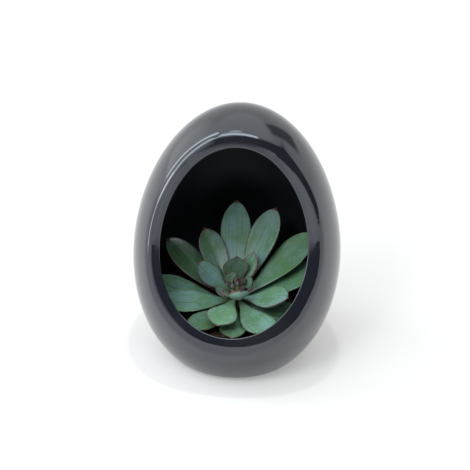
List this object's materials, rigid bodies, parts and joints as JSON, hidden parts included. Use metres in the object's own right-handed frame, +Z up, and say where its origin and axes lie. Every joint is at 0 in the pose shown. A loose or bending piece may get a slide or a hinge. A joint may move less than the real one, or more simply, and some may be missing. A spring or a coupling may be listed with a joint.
{
  "type": "planted clay pot",
  "caption": "Egg-shaped glossy black clay pot with a wide oval mouth in its front, planted with a rosette succulent whose leaves show in the mouth.",
  "frame": {"origin": "centre of the flat foot, on the surface that the pot stands on", "axes": "+Z up along the egg's axis; the mouth faces -Y; +X to the right when the mouth is looked into"},
  "size_m": [0.13, 0.1273, 0.172],
  "materials": {
    "black_clay": "burnished to a mirror gloss",
    "stone": "rough",
    "potting_mix": "loose and matt",
    "roots": "matted fibres",
    "stem": "dry bark",
    "leaf_outer": "waxy bloom",
    "leaf_inner": "waxy bloom with red margins",
    "leaf_heart": "waxy bloom with red margins"
  },
  "bodies": {
    "root": {"pot_shell": "black_clay", "drainage_stones": "stone", "potting_mix": "potting_mix", "root_ball": "roots", "stem": "stem", "growing_tip": "leaf_heart", "outer_leaf_front": "leaf_outer", "outer_leaf_left": "leaf_outer", "outer_leaf_right": "leaf_outer", "outer_leaf_back": "leaf_outer", "outer_leaf_left_back": "leaf_outer", "outer_leaf_front_right": "leaf_outer", "outer_leaf_front_left": "leaf_outer", "outer_leaf_right_back": "leaf_outer", "outer_leaf_left_low": "leaf_outer", "middle_leaf_back_right": "leaf_outer", "middle_leaf_front_right": "leaf_outer", "middle_leaf_back_left": "leaf_outer", "inner_leaf_right_back": "leaf_inner", "middle_leaf_right": "leaf_outer", "middle_leaf_front": "leaf_outer", "middle_leaf_left": "leaf_outer", "inner_leaf_front": "leaf_inner", "inner_leaf_back": "leaf_inner", "inner_leaf_front_left": "leaf_inner", "heart_leaf_right": "leaf_heart", "heart_leaf_back_left": "leaf_heart"}
  },
  "joints": []
}
